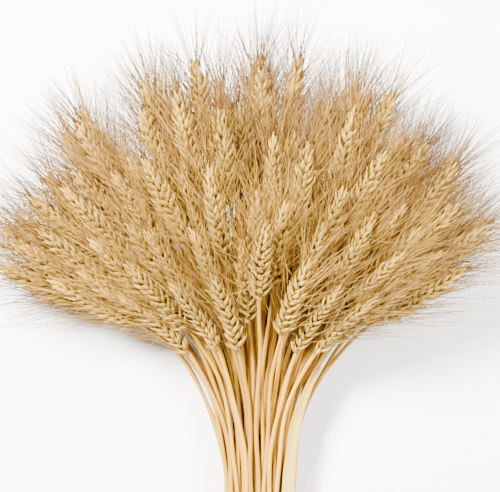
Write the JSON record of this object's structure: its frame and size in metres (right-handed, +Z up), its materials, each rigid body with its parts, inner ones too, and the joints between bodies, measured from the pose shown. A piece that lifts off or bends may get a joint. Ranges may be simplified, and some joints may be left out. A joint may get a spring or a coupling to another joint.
{
  "type": "bunch of wheat ears",
  "caption": "Tied bunch of dry bearded wheat: straight stalks gathered in a twine tie and fanned out into a wide head of ears with long awns, lying on its side.",
  "frame": {"origin": "middle of the flat underside of the twine tie, on the surface that the bunch lies on", "axes": "+Y along the bunch from the cut butts to the ears, +Z up from the surface, +X to the right when looking down with the ears away from the viewer"},
  "size_m": [0.4692, 0.4678, 0.1683],
  "materials": {
    "straw_pale": "dry straw, slightly satin",
    "straw_golden": "dry straw, slightly satin",
    "straw_tan": "dry straw, slightly satin",
    "twine": "plain plant-fibre twine, matt",
    "leaf": "dry leaf blade, matt"
  },
  "bodies": {
    "root": {"stalk_pair_01": "straw_golden", "stalk_pair_02": "straw_tan", "stalk_pair_03": "straw_pale", "stalk_pair_04": "straw_golden", "stalk_pair_05": "straw_tan", "stalk_pair_06": "straw_pale", "stalk_pair_07": "straw_golden", "stalk_pair_08": "straw_tan", "stalk_pair_09": "straw_pale", "stalk_pair_10": "straw_golden", "stalk_pair_11": "straw_tan", "stalk_pair_12": "straw_pale", "stalk_pair_13": "straw_golden", "stalk_pair_14": "straw_tan", "stalk_pair_15": "straw_pale", "stalk_pair_16": "straw_golden", "stalk_pair_17": "straw_tan", "stalk_pair_18": "straw_pale", "stalk_pair_19": "straw_golden", "stalk_pair_20": "straw_tan", "stalk_pair_21": "straw_pale", "stalk_pair_22": "straw_golden", "stalk_pair_23": "straw_tan", "stalk_pair_24": "straw_pale", "stalk_pair_25": "straw_golden", "stalk_pair_26": "straw_tan", "stalk_pair_27": "straw_pale", "stalk_pair_28": "straw_golden", "stalk_pair_29": "straw_tan", "stalk_pair_30": "straw_pale", "stalk_pair_31": "straw_golden", "stalk_pair_32": "straw_tan", "stalk_pair_33": "straw_pale", "stalk_pair_34": "straw_golden", "stalk_pair_35": "straw_tan", "stalk_pair_36": "straw_pale", "stalk_pair_37": "straw_golden", "stalk_pair_38": "straw_tan", "stalk_pair_39": "straw_pale", "stalk_pair_40": "straw_golden", "twine_tie": "twine", "dry_leaf": "leaf"}
  },
  "joints": []
}
